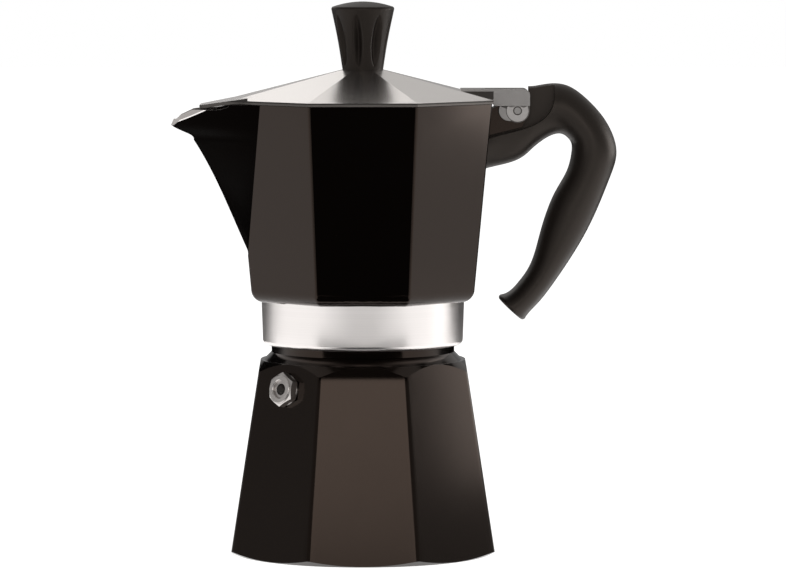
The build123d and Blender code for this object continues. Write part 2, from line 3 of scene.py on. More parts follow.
import bpy
from mathutils import Matrix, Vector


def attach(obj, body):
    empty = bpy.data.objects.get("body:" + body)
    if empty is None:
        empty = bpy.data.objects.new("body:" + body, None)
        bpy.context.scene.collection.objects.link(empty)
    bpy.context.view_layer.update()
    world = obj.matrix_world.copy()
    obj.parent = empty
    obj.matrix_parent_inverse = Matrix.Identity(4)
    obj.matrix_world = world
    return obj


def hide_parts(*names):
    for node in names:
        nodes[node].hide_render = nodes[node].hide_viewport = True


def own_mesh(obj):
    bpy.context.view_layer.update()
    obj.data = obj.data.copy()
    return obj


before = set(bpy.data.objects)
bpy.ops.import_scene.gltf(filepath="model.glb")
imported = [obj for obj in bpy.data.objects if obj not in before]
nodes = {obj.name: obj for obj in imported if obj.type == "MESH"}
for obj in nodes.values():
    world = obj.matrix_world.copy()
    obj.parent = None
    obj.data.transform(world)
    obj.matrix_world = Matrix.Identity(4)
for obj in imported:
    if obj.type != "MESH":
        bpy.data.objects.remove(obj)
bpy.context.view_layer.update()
scene = bpy.context.scene
scene.view_settings.view_transform = "Standard"

MM = 0.001

# Merge distances in metres: the mesh of a solid, and a shape closed along its seam
CAST_MERGE = 0.000001
SEAM_MERGE = 0.000002

# Places that the paint borders and the borders of the painted shade on the jug follow, in millimetres
PAINT_TOP_ON_NECK = 82.5
SHOULDER = 74.0
JUG_BASE = 98.8
JUG_BASE_SLACK = 0.01
JUG_RIM = 175.5
JUG_BASE_APOTHEM = 42.7
JUG_RIM_APOTHEM = 49.8
JUG_BOTTOM_ROUND = 4.0
JUG_BOTTOM_REACH = 39.0
WALL_HALF = 1.2
BRACKET_CLEAR = 0.3
FACET_REACH = 0.005
SPOUT_START = -30.0
SPOUT_ROOT = 116.0
LIP_START = -58.0
LIP_TIP = (-74.58, 170.2)
LIP_NORMAL = (-0.708, 0.512, 0.483)
LIP_BARE = 0.8

# Places on the lid where its finish changes and where its painted shade and painted shadow begin and end, in
# millimetres
EAR_START = 50.6
TAB_START = 36.0
TAB_STRIP = 180.1
LID_GAP = 176.4
LID_EDGE = 177.05
LID_TONGUE = -50.5

# Shares of a face's normal, by which walls, rims and sides are told apart
WALL_OUT = 0.05
SHOULDER_UP = 0.1
BOTTOM_DOWN = -0.2
RIM_UP = 0.9
LIP_UP = 0.2
FRONT_FACET = -0.985
FACET_MATCH = math.cos(math.radians(1))
TAB_TOP_UP = 0.995
SIDE_ACROSS = 0.95
LID_RIM_OUT = 0.7

# Angles in degrees, below which an edge is shaded smooth
CASTING_SMOOTH = 20
JUG_SMOOTH = 32
LATHE_SMOOTH = 30
THREAD_SMOOTH = 40

# Knob: foot, side, rim, dome and flutes, in millimetres and degrees
KNOB_FOOT = 188.2
KNOB_FOOT_RADIUS = 7.9
KNOB_RIM = 211.8
KNOB_RIM_RADIUS = 12.25
KNOB_EDGE = 1.0
KNOB_TOP = 214.7
KNOB_HOLLOW = 0.3
KNOB_BORE = 3.65
KNOB_BORE_DEPTH = 10.1
KNOB_ROWS = 56
KNOB_EDGE_TURN = 75
KNOB_EDGE_STEPS = 6
KNOB_DOME_STEPS = 8
FLUTES = 8
FLUTE_FIRST = 258.0
FLUTE_LOW = 189.6
FLUTE_HIGH = 209.8
FLUTE_HALF_WIDTH = 2.35
FLUTE_LEAST = 0.12
FLUTE_DEPTH = 2.4
FLUTE_STEPS = 12
RIB_STEPS = 6

# Hinge: pin's place, faces of the ears, ring round the pin and pad beside it, in millimetres
PIN = (59.9, 172.6)
EAR_LEAF = 9.2
EAR_FACE = 8.4
LEAF_MATCH = 0.01
FACE_MATCH = 0.05
BOSS_HOLE = 1.75
BOSS_RADIUS = 4.45
BOSS_RISE = 0.6
BOSS_EDGE = 0.2
BOSS_TOP = 174.6
PAD_PLACE = (56.7, 172.7)
PAD_RADIUS = 4.2
PAD_RISE = 0.25
PAD_END = 57.8
ROUND_STEPS = 64

# Relief valve: place on its facet and turned face of its nut, in millimetres
VALVE_SEAT = (-29.2156, -29.2156, 66.0)
VALVE_AXIS = (-0.698996, -0.698996, 0.151025)
NUT_FRONT = 3.8
NUT_FACE_RADIUS = 5.6
NUT_SLOPE = 1.7
NUT_DEPTH = 13.0
NUT_STEPS = 96
NUT_FLAT = 0.5
COLLAR_OUTER = 5.45
COLLAR_INNER = 3.5
COLLAR_BACK = 3.35
COLLAR_FRONT = 4.4
COLLAR_EDGE = 0.25

# Screw thread, in millimetres
NECK_RADIUS = 35.6
SKIRT_BORE = 36.2
THREAD_PITCH = 3.0
THREAD_ROOT = 1.5
THREAD_CREST = 0.6
THREAD_SUNK = 0.1
THREAD_RISE = 0.42
THREAD_TURNS = 1.9
THREAD_STEPS = 60
THREAD_RUN_OUT = 8
NECK_THREAD_FOOT = 82.6
SKIRT_THREAD_FOOT = 84.1

# Finishes: strength of the bump, spread of the shade and mix of the brushed lines
GRAIN_BUMP = 0.5
BRUSH_BUMP = 0.4
MARKS_SHADE = (0.82, 1.12)
BRUSH_SHADE = (0.86, 1.1)
BRUSH_BROAD_SCALE = 0.18
BRUSH_FINE_SHARE = 0.7
BRUSH_BROAD_SHARE = 0.3

# Camera in metres and degrees, and studio
IMAGE_WIDTH = 786
PIXELS_PER_RADIAN = 5146.0
SENSOR_WIDTH = 36.0
CAMERA_PLACE = (0.0, -2.0, 0.252)
CAMERA_DIP = 4.317
CAMERA_TURN = -0.336
SKY_FROM = -0.2
SKY_TO = 0.9
SKY_IN_FRONT = 0.28
SKY_BEHIND = 0.5
LAMP_COLOUR = (1.0, 0.98, 0.96)
FLOOR_WIDTH = 12.0
FLOOR_LEVEL = -0.0002
FLOOR_GREY = 0.5
FLOOR_GLOW = 0.95
FLOOR_ROUGHNESS = 0.9
CARD_BLACK = 0.002


def deselect_all():
    if bpy.context.object and bpy.context.object.mode != "OBJECT":
        bpy.ops.object.mode_set(mode="OBJECT")
    bpy.ops.object.select_all(action="DESELECT")


def make_active(piece):
    deselect_all()
    piece.select_set(True)
    bpy.context.view_layer.objects.active = piece


# Shader groups


def new_group(name, inputs, outputs):
    """Shader group with float or colour sockets; gives the tree and its two end nodes."""
    group = bpy.data.node_groups.new(name, "ShaderNodeTree")
    for label, kind, value in inputs:
        socket = group.interface.new_socket(label, in_out="INPUT", socket_type=kind)
        if value is not None:
            socket.default_value = value
    for label, kind in outputs:
        group.interface.new_socket(label, in_out="OUTPUT", socket_type=kind)
    return group, group.nodes.new("NodeGroupInput"), group.nodes.new("NodeGroupOutput")


def math_node(tree, operation, first, second=None):
    node = tree.nodes.new("ShaderNodeMath")
    node.operation = operation
    for index, value in enumerate((first, second)):
        if value is None:
            continue
        if isinstance(value, (int, float)):
            node.inputs[index].default_value = value
        else:
            tree.links.new(value, node.inputs[index])
    return node.outputs[0]


def noise_node(tree, vector, scale, detail=3.0, roughness=0.55):
    node = tree.nodes.new("ShaderNodeTexNoise")
    node.inputs["Detail"].default_value = detail
    node.inputs["Roughness"].default_value = roughness
    if isinstance(scale, (int, float)):
        node.inputs["Scale"].default_value = scale
    else:
        tree.links.new(scale, node.inputs["Scale"])
    tree.links.new(vector, node.inputs["Vector"])
    return node.outputs[0]


def spread(tree, value, low, high):
    """Value from 0 to 1 spread over the range from low to high."""
    node = tree.nodes.new("ShaderNodeMapRange")
    tree.links.new(value, node.inputs["Value"])
    for label, limit in (("To Min", low), ("To Max", high)):
        if isinstance(limit, (int, float)):
            node.inputs[label].default_value = limit
        else:
            tree.links.new(limit, node.inputs[label])
    return node.outputs[0]


def make_surface_group():
    """Fine grain and broad handling marks: a height for the bump, a roughness and a shade."""
    group, start, end = new_group(
        "fine_grain_and_marks",
        [
            ("Vector", "NodeSocketVector", None),
            ("Grain scale", "NodeSocketFloat", 900.0),
            ("Marks scale", "NodeSocketFloat", 28.0),
            ("Roughness low", "NodeSocketFloat", 0.2),
            ("Roughness high", "NodeSocketFloat", 0.3),
        ],
        [
            ("Height", "NodeSocketFloat"),
            ("Roughness", "NodeSocketFloat"),
            ("Shade", "NodeSocketFloat"),
        ],
    )
    vector = start.outputs["Vector"]
    grain = noise_node(group, vector, start.outputs["Grain scale"], 2.0)
    marks = noise_node(group, vector, start.outputs["Marks scale"], 5.0, 0.6)
    group.links.new(grain, end.inputs["Height"])
    rough = spread(group, marks, start.outputs["Roughness low"], start.outputs["Roughness high"])
    group.links.new(rough, end.inputs["Roughness"])
    group.links.new(spread(group, marks, *MARKS_SHADE), end.inputs["Shade"])
    return group


def make_brush_group():
    """Brushed lines: noise drawn out along the lines by a stretched vector."""
    group, start, end = new_group(
        "brushed_lines",
        [
            ("Vector", "NodeSocketVector", None),
            ("Roughness low", "NodeSocketFloat", 0.25),
            ("Roughness high", "NodeSocketFloat", 0.4),
        ],
        [
            ("Height", "NodeSocketFloat"),
            ("Roughness", "NodeSocketFloat"),
            ("Shade", "NodeSocketFloat"),
        ],
    )
    vector = start.outputs["Vector"]
    fine = noise_node(group, vector, 1.0, 4.0, 0.65)
    broad = noise_node(group, vector, BRUSH_BROAD_SCALE, 3.0)
    mixed = math_node(
        group, "ADD",
        math_node(group, "MULTIPLY", fine, BRUSH_FINE_SHARE),
        math_node(group, "MULTIPLY", broad, BRUSH_BROAD_SHARE),
    )
    group.links.new(mixed, end.inputs["Height"])
    rough = spread(group, mixed, start.outputs["Roughness low"], start.outputs["Roughness high"])
    group.links.new(rough, end.inputs["Roughness"])
    group.links.new(spread(group, mixed, *BRUSH_SHADE), end.inputs["Shade"])
    return group


surface_group = make_surface_group()
brush_group = make_brush_group()


# Materials


def new_material(name, colour, metallic, **constants):
    material = bpy.data.materials.new(name)
    material.use_nodes = True
    tree = material.node_tree
    shader = tree.nodes["Principled BSDF"]
    shader.inputs["Base Color"].default_value = (*colour, 1)
    shader.inputs["Metallic"].default_value = metallic
    for label, value in constants.items():
        shader.inputs[label.replace("_", " ")].default_value = value
    return material, tree, shader


def place_group(tree, group, vector, **values):
    node = tree.nodes.new("ShaderNodeGroup")
    node.node_tree = group
    for label, value in values.items():
        node.inputs[label.replace("_", " ")].default_value = value
    tree.links.new(vector, node.inputs["Vector"])
    return node


def object_vector(tree):
    return tree.nodes.new("ShaderNodeTexCoord").outputs["Object"]


def tint(tree, shader, colour, shade):
    """Base colour times a shade that varies over the surface."""
    node = tree.nodes.new("ShaderNodeMix")
    node.data_type = "RGBA"
    node.blend_type = "MULTIPLY"
    node.inputs["Factor"].default_value = 1.0
    node.inputs["A"].default_value = (*colour, 1)
    tree.links.new(shade, node.inputs["B"])
    tree.links.new(node.outputs["Result"], shader.inputs["Base Color"])


def bump(tree, shader, height, strength, distance):
    node = tree.nodes.new("ShaderNodeBump")
    node.inputs["Strength"].default_value = strength
    node.inputs["Distance"].default_value = distance
    tree.links.new(height, node.inputs["Height"])
    tree.links.new(node.outputs["Normal"], shader.inputs["Normal"])


def grained_material(name, colour, metallic, grain, marks, rough, depth, **constants):
    material, tree, shader = new_material(name, colour, metallic, **constants)
    node = place_group(
        tree, surface_group, object_vector(tree),
        Grain_scale=grain, Marks_scale=marks, Roughness_low=rough[0], Roughness_high=rough[1],
    )
    tint(tree, shader, colour, node.outputs["Shade"])
    tree.links.new(node.outputs["Roughness"], shader.inputs["Roughness"])
    bump(tree, shader, node.outputs["Height"], GRAIN_BUMP, depth)
    return material


def turned_vector(tree, radial, vertical):
    """Distance from the axis and height, for lines that run round the pot."""
    parts = tree.nodes.new("ShaderNodeSeparateXYZ")
    tree.links.new(object_vector(tree), parts.inputs[0])
    square = math_node(
        tree, "ADD",
        math_node(tree, "MULTIPLY", parts.outputs["X"], parts.outputs["X"]),
        math_node(tree, "MULTIPLY", parts.outputs["Y"], parts.outputs["Y"]),
    )
    distance = math_node(tree, "SQRT", square)
    joined = tree.nodes.new("ShaderNodeCombineXYZ")
    tree.links.new(math_node(tree, "MULTIPLY", distance, radial), joined.inputs["X"])
    tree.links.new(math_node(tree, "MULTIPLY", parts.outputs["Z"], vertical), joined.inputs["Z"])
    return joined.outputs["Vector"]


def spoke_vector(tree, lines):
    """Angle round the axis, for lines that run down the slope from the middle."""
    parts = tree.nodes.new("ShaderNodeSeparateXYZ")
    tree.links.new(object_vector(tree), parts.inputs[0])
    angle = math_node(tree, "ARCTAN2", parts.outputs["Y"], parts.outputs["X"])
    joined = tree.nodes.new("ShaderNodeCombineXYZ")
    tree.links.new(math_node(tree, "MULTIPLY", angle, lines), joined.inputs["X"])
    return joined.outputs["Vector"]


def brushed_material(name, colour, rough, depth, turned=None, spokes=None):
    material, tree, shader = new_material(name, colour, 1.0)
    vector = turned_vector(tree, *turned) if turned else spoke_vector(tree, spokes)
    node = place_group(tree, brush_group, vector, Roughness_low=rough[0], Roughness_high=rough[1])
    tint(tree, shader, colour, node.outputs["Shade"])
    tree.links.new(node.outputs["Roughness"], shader.inputs["Roughness"])
    bump(tree, shader, node.outputs["Height"], BRUSH_BUMP, depth)
    return material


enamel = grained_material(
    "black_enamel", (0.0015, 0.0010, 0.0008), 0.0, 500.0, 22.0, (0.11, 0.17), 0.000002,
    IOR=1.5, Specular_IOR_Level=0.36, Specular_Tint=(1.0, 0.75, 0.62, 1.0),
)
# Painted shade: a copy of the black enamel with almost no reflection, for the jug's front facet and spout.
painted_shade_enamel = grained_material(
    "black_enamel_painted_shade", (0.0016, 0.0011, 0.0009), 0.0, 500.0, 22.0, (0.3, 0.4), 0.000002,
    IOR=1.5, Specular_IOR_Level=0.008, Specular_Tint=(1.0, 0.75, 0.62, 1.0),
)
plastic = grained_material(
    "satin_black_plastic", (0.013, 0.0105, 0.009), 0.0, 1800.0, 40.0, (0.36, 0.45), 0.00002,
    IOR=1.42, Specular_Tint=(1.0, 0.86, 0.76, 1.0),
)
knob_plastic = grained_material(
    "matt_black_plastic", (0.014, 0.0112, 0.0096), 0.0, 1800.0, 40.0, (0.38, 0.46), 0.00002,
    IOR=1.42, Specular_IOR_Level=0.32, Specular_Tint=(1.0, 0.86, 0.76, 1.0),
)
ear_metal = grained_material(
    "cast_ear_aluminium", (0.30, 0.288, 0.28), 1.0, 1500.0, 90.0, (0.36, 0.5), 0.00012,
)
boss_metal = grained_material(
    "ground_boss_aluminium", (0.42, 0.403, 0.392), 1.0, 1500.0, 90.0, (0.36, 0.5), 0.00012,
)
cast_metal = grained_material(
    "cast_aluminium", (0.60, 0.58, 0.56), 1.0, 1400.0, 35.0, (0.36, 0.52), 0.00003,
)
lid_metal = brushed_material(
    "brushed_lid_aluminium", (0.84, 0.81, 0.79), (0.2, 0.3), 0.000006, spokes=90.0,
)
ring_metal = brushed_material(
    "turned_ring_aluminium", (0.91, 0.87, 0.85), (0.24, 0.34), 0.000005, turned=(2500.0, 4000.0),
)
spun_metal = brushed_material(
    "spun_aluminium", (0.74, 0.73, 0.72), (0.25, 0.4), 0.000005, turned=(3000.0, 3000.0),
)
nickel = grained_material(
    "nickel_plate", (0.66, 0.63, 0.61), 1.0, 1500.0, 120.0, (0.26, 0.34), 0.00001,
)
steel = grained_material(
    "bright_steel", (0.52, 0.51, 0.50), 1.0, 1500.0, 120.0, (0.2, 0.34), 0.00001,
)
# Dark metal of the valve's piston; the same material is painted shadow on the lid's upper rim and on the
# sides of its tab.
dark_metal_and_painted_shade = grained_material(
    "dark_metal_also_painted_shadow", (0.05, 0.046, 0.043), 1.0, 1500.0, 120.0, (0.35, 0.5), 0.00001,
)
# Painted shade: a darker copy of the cast aluminium, for the lower half of the lid's rim, the recessed faces
# of the ears and the edges of the discs on the ears.
shaded_metal = grained_material(
    "painted_shade_cast_aluminium", (0.13, 0.12, 0.112), 1.0, 1500.0, 90.0, (0.4, 0.55), 0.0001,
)
rubber = grained_material(
    "pale_rubber", (0.72, 0.70, 0.65), 0.0, 1200.0, 60.0, (0.55, 0.7), 0.00003,
)


def set_material(piece, *materials):
    piece.data.materials.clear()
    for material in materials:
        piece.data.materials.append(material)


# Castings: merged copies of their solids, with a material for each finish and for the painted shade and
# shadow on some faces


def casting_from(node, name, body, cuts=(), trims=(), smooth=CASTING_SMOOTH):
    """Merged copy of a solid, cut through where a finish or a painted shade ends and trimmed off beyond some
    planes.
    """
    source = nodes[node]
    piece = source.copy()
    piece.data = source.data.copy()
    piece.parent = None
    piece.name = name
    piece.data.name = name
    for key in list(piece.keys()):
        del piece[key]
    scene.collection.objects.link(piece)
    make_active(piece)
    bpy.ops.object.mode_set(mode="EDIT")
    bpy.ops.mesh.select_all(action="SELECT")
    bpy.ops.mesh.remove_doubles(threshold=CAST_MERGE)
    bpy.ops.mesh.customdata_custom_splitnormals_clear()
    for point, normal in trims:
        bpy.ops.mesh.select_all(action="SELECT")
        bpy.ops.mesh.bisect(plane_co=point, plane_no=normal, clear_outer=True, use_fill=True)
    for point, normal in cuts:
        bpy.ops.mesh.select_all(action="SELECT")
        bpy.ops.mesh.bisect(plane_co=point, plane_no=normal)
    bpy.ops.object.mode_set(mode="OBJECT")
    bpy.ops.object.shade_smooth_by_angle(angle=math.radians(smooth))
    even = piece.modifiers.new("even_normals", "WEIGHTED_NORMAL")
    even.keep_sharp = True
    bpy.ops.object.modifier_apply(modifier=even.name)
    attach(piece, body)
    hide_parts(node)
    return piece


def level_plane(z):
    return (0, 0, z * MM), (0, 0, 1)


def lip_planes(drop):
    """Planes of the bevel on both sides of the spout's lip, let down by a drop."""
    tip = (LIP_TIP[0] * MM, 0, (LIP_TIP[1] - drop) * MM)
    back, aside, up = LIP_NORMAL
    return [(tip, (back, side * aside, up)) for side in (-1, 1)]


def beyond(point, plane):
    """True on the side of the plane that its normal points to."""
    start, normal = plane
    return sum((a - b) * c for a, b, c in zip(point, start, normal)) > 0


def outward(face):
    """Share of a face's normal that points away from the pot's axis."""
    centre = face.center
    reach = math.hypot(centre.x, centre.y) or 1.0
    return (face.normal.x * centre.x + face.normal.y * centre.y) / reach


def boiler_is_painted(face):
    if face.center.z > PAINT_TOP_ON_NECK * MM:
        return False
    if face.center.z > SHOULDER * MM and face.normal.z > SHOULDER_UP:
        return True
    return outward(face) > WALL_OUT


def jug_apothem(z):
    """Half width in millimetres across the jug's flats at a height in metres."""
    share = (z / MM - JUG_BASE) / (JUG_RIM - JUG_BASE)
    return JUG_BASE_APOTHEM + (JUG_RIM_APOTHEM - JUG_BASE_APOTHEM) * share


def jug_is_painted(face):
    centre = face.center
    if centre.z < (JUG_BASE - JUG_BASE_SLACK) * MM:
        return False
    x, y = centre.x / MM, centre.y / MM
    apothem = jug_apothem(centre.z)
    across = max(abs(x), abs(y), (abs(x) + abs(y)) / math.sqrt(2))
    if x > apothem + BRACKET_CLEAR:
        return True
    if x < LIP_START and any(beyond(centre, plane) for plane in lip_planes(LIP_BARE)):
        return False
    low = centre.z < (JUG_BASE + JUG_BOTTOM_ROUND) * MM
    if low and face.normal.z < BOTTOM_DOWN and across > JUG_BOTTOM_REACH:
        return True
    if face.normal.z > (LIP_UP if x < LIP_START else RIM_UP):
        return False
    if x > SPOUT_START and across < apothem - WALL_HALF:
        return False
    return outward(face) > WALL_OUT


def on_facet(face):
    """True on the jug's eight flat sides, whose planes are known."""
    lean = math.atan2(JUG_RIM_APOTHEM - JUG_BASE_APOTHEM, JUG_RIM - JUG_BASE)
    foot = Vector((0, 0, JUG_BASE * MM))
    for step in range(8):
        turn = math.radians(45 * step)
        across = Vector((math.cos(turn), math.sin(turn), 0))
        facet = across * math.cos(lean) - Vector((0, 0, math.sin(lean)))
        off_plane = (face.center - foot - across * JUG_BASE_APOTHEM * MM).dot(facet)
        if face.normal.dot(facet) > FACET_MATCH and abs(off_plane) < FACET_REACH * MM:
            return True
    return False


def jug_has_painted_shade(face):
    """The front facet and the spout, where the enamel is painted shade: a copy with almost no reflection, so
    that they show black.
    """
    x, y, z = (value / MM for value in face.center)
    if x < SPOUT_START and z > SPOUT_ROOT and not on_facet(face):
        return True
    return face.normal.y < FRONT_FACET and y < -jug_apothem(face.center.z) + WALL_HALF


def paint(piece, is_painted, bare, has_painted_shade=None):
    """Bare metal, enamel or the enamel that is painted shade, for each face."""
    set_material(piece, bare, enamel, painted_shade_enamel)
    for face in piece.data.polygons:
        in_painted_shade = has_painted_shade and has_painted_shade(face)
        face.material_index = 0 if not is_painted(face) else 2 if in_painted_shade else 1


boiler = casting_from("boiler", "painted_boiler", "boiler", [level_plane(PAINT_TOP_ON_NECK)])
paint(boiler, boiler_is_painted, cast_metal)

jug = casting_from(
    "collector", "painted_jug", "jug",
    [level_plane(JUG_BASE), *lip_planes(LIP_BARE)], lip_planes(0.0), JUG_SMOOTH,
)
paint(jug, jug_is_painted, ring_metal, jug_has_painted_shade)


def lid_is_ear(face):
    """True on the ears and on the top and sides of the tab that carries them."""
    if face.center.x > EAR_START * MM:
        return True
    flat_face = face.normal.z > TAB_TOP_UP or abs(face.normal.y) > SIDE_ACROSS
    return flat_face and face.center.x > TAB_START * MM


def lid_has_painted_shade(face):
    """True where painted shade goes: the lower half of the rim and the recessed faces of the ears."""
    if face.center.z < LID_GAP * MM and outward(face) > LID_RIM_OUT:
        return True
    if abs(face.normal.y) < SIDE_ACROSS:
        return False
    return face.center.x > EAR_START * MM and abs(abs(face.center.y) / MM - EAR_FACE) < FACE_MATCH


def lid_has_painted_shadow(face):
    """True where painted shadow goes: the upper half of the rim, as the dark gap under the lid's edge, and
    the tab's sides below the thin strip along its top, as the shadow under the tab.
    """
    if LID_GAP * MM < face.center.z < LID_EDGE * MM and face.center.x > LID_TONGUE * MM:
        return outward(face) > LID_RIM_OUT
    along = TAB_START * MM < face.center.x < EAR_START * MM
    return along and abs(face.normal.y) > SIDE_ACROSS and face.center.z < TAB_STRIP * MM


ear_plane = (EAR_START * MM, 0, 0), (1, 0, 0)
lid = casting_from(
    "lid", "lid_with_ears", "lid", [level_plane(LID_GAP), level_plane(TAB_STRIP), ear_plane],
)
for vertex in lid.data.vertices:
    if abs(abs(vertex.co.y) / MM - EAR_LEAF) < LEAF_MATCH and vertex.co.x > EAR_START * MM:
        vertex.co.y = math.copysign(EAR_FACE * MM, vertex.co.y)
set_material(lid, lid_metal, ear_metal, shaded_metal, dark_metal_and_painted_shade)
# Index 3 is painted shadow, index 2 painted shade, index 1 the ears' cast metal and index 0 the brushed lid.
for face in lid.data.polygons:
    if lid_has_painted_shadow(face):
        face.material_index = 3
    elif lid_has_painted_shade(face):
        face.material_index = 2
    else:
        face.material_index = 1 if lid_is_ear(face) else 0


# Turned pieces


def lathe(name, outline, steps, turn_at, shape=None):
    """Grid primitive wrapped round the Z axis, one row per outline point, then closed along its seam."""
    deselect_all()
    bpy.ops.mesh.primitive_grid_add(x_subdivisions=steps, y_subdivisions=len(outline) - 1, size=2.0)
    piece = bpy.context.object
    piece.name = name
    piece.data.name = name
    for vertex in piece.data.vertices:
        column = round((vertex.co.x + 1) / 2 * steps)
        row = round((vertex.co.y + 1) / 2 * (len(outline) - 1))
        radius, height = outline[row]
        turn = turn_at(column, radius, height)
        if shape:
            radius = shape(column, radius, height)
        vertex.co = (radius * math.cos(turn) * MM, radius * math.sin(turn) * MM, height * MM)
    bpy.ops.object.mode_set(mode="EDIT")
    bpy.ops.mesh.select_all(action="SELECT")
    bpy.ops.mesh.remove_doubles(threshold=SEAM_MERGE)
    bpy.ops.mesh.normals_make_consistent(inside=False)
    bpy.ops.object.mode_set(mode="OBJECT")
    bpy.ops.object.shade_smooth_by_angle(angle=math.radians(LATHE_SMOOTH))
    return piece


def flute_share(height):
    """How far the flute's leaf shape opens at a height, from 0 at its ends to 1 in its middle."""
    middle = (FLUTE_LOW + FLUTE_HIGH) / 2
    return max(0.0, 1 - ((height - middle) / (FLUTE_HIGH - middle)) ** 2)


def flute_place(column):
    """Flute number and place across it: within -1 to 1 in the flute, beyond that on the rib."""
    flute, step = divmod(column, FLUTE_STEPS + RIB_STEPS)
    if step <= FLUTE_STEPS:
        return flute, 2 * step / FLUTE_STEPS - 1, 0.0
    return flute, 1.0, (step - FLUTE_STEPS) / RIB_STEPS


def knob_turn(column, radius, height):
    """Angle of a point of the knob: columns crowd into the flutes where these are narrow."""
    flute, across, on_rib = flute_place(column)
    pitch = 2 * math.pi / FLUTES
    opening = max(FLUTE_LEAST, math.sqrt(flute_share(height)))
    half = opening * FLUTE_HALF_WIDTH / max(radius, KNOB_FOOT_RADIUS)
    return math.radians(FLUTE_FIRST) + flute * pitch + across * half + on_rib * (pitch - 2 * half)


def knob_radius(column, radius, height):
    """Radius of a point of the knob, drawn in where a flute is."""
    _, across, on_rib = flute_place(column)
    if on_rib or radius < KNOB_FOOT_RADIUS:
        return radius
    return radius - FLUTE_DEPTH * flute_share(height) * (1 - across ** 2) ** 2


def knob_outline():
    """Bore, foot, slightly hollow side, rounded rim and low dome."""
    outline = [
        (0.0, KNOB_FOOT + KNOB_BORE_DEPTH), (KNOB_BORE, KNOB_FOOT + KNOB_BORE_DEPTH),
        (KNOB_BORE, KNOB_FOOT), (KNOB_FOOT_RADIUS, KNOB_FOOT),
    ]
    for step in range(1, KNOB_ROWS + 1):
        share = step / KNOB_ROWS
        radius = KNOB_FOOT_RADIUS + (KNOB_RIM_RADIUS - KNOB_FOOT_RADIUS) * share
        outline.append((
            radius - KNOB_HOLLOW * math.sin(math.pi * share),
            KNOB_FOOT + (KNOB_RIM - KNOB_FOOT) * share,
        ))
    edge = KNOB_RIM_RADIUS - KNOB_EDGE
    for step in range(1, KNOB_EDGE_STEPS + 1):
        lean = math.radians(KNOB_EDGE_TURN * step / KNOB_EDGE_STEPS)
        outline.append((edge + KNOB_EDGE * math.cos(lean), KNOB_RIM + KNOB_EDGE * math.sin(lean)))
    crown_from, top_from = outline[-1]
    for step in range(1, KNOB_DOME_STEPS + 1):
        share = step / KNOB_DOME_STEPS
        rise = (KNOB_TOP - top_from) * (1 - (1 - share) ** 2)
        outline.append((crown_from * (1 - share), top_from + rise))
    return outline


knob = lathe("fluted_knob", knob_outline(), FLUTES * (FLUTE_STEPS + RIB_STEPS), knob_turn, knob_radius)
set_material(knob, knob_plastic)
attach(knob, "lid")
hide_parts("knob")


def even_turn(column, radius, height):
    return 2 * math.pi * column / ROUND_STEPS


def ear_disc(name, place, hole, radius, rise):
    """Raised disc on the outer face of the front ear: the ring round the pin, or the plain pad beside it."""
    outline = [
        (hole, -rise), (hole, rise), (radius - BOSS_EDGE, rise),
        (radius, rise - BOSS_EDGE), (radius, -rise), (hole, -rise),
    ]
    disc = lathe(name, outline, ROUND_STEPS, even_turn)
    turn = Matrix.Rotation(math.radians(90), 4, "X")
    disc.data.transform(Matrix.Translation((place[0] * MM, -EAR_FACE * MM, place[1] * MM)) @ turn)
    bpy.ops.object.mode_set(mode="EDIT")
    bpy.ops.mesh.select_all(action="SELECT")
    bpy.ops.mesh.bisect(plane_co=(0, 0, BOSS_TOP * MM), plane_no=(0, 0, 1), clear_outer=True, use_fill=True)
    if not hole:
        bpy.ops.mesh.select_all(action="SELECT")
        bpy.ops.mesh.bisect(
            plane_co=(PAD_END * MM, 0, 0), plane_no=(1, 0, 0), clear_outer=True, use_fill=True,
        )
    bpy.ops.object.mode_set(mode="OBJECT")
    set_material(disc, boss_metal if hole else ear_metal, shaded_metal)
    # Painted shade: every face of the disc except its flat front and back, so its rounded edge, its side
    # and, on the ring round the pin, the wall of the hole.
    for face in disc.data.polygons:
        face.material_index = 0 if abs(face.normal.y) > SIDE_ACROSS else 1
    return disc


def mirrored(piece, name):
    """Copy of a piece, with its own mesh, on the other side of the middle plane."""
    twin = piece.copy()
    twin.data = piece.data.copy()
    twin.name = name
    twin.data.name = name
    scene.collection.objects.link(twin)
    twin.data.transform(Matrix.Scale(-1, 4, (0, 1, 0)))
    make_active(twin)
    bpy.ops.object.mode_set(mode="EDIT")
    bpy.ops.mesh.select_all(action="SELECT")
    bpy.ops.mesh.flip_normals()
    bpy.ops.object.mode_set(mode="OBJECT")
    return twin


boss = ear_disc("hinge_boss_front", PIN, BOSS_HOLE, BOSS_RADIUS, BOSS_RISE)
pad = ear_disc("hinge_pad_front", PAD_PLACE, 0.0, PAD_RADIUS, PAD_RISE)
for disc in (boss, pad, mirrored(boss, "hinge_boss_back"), mirrored(pad, "hinge_pad_back")):
    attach(disc, "lid")


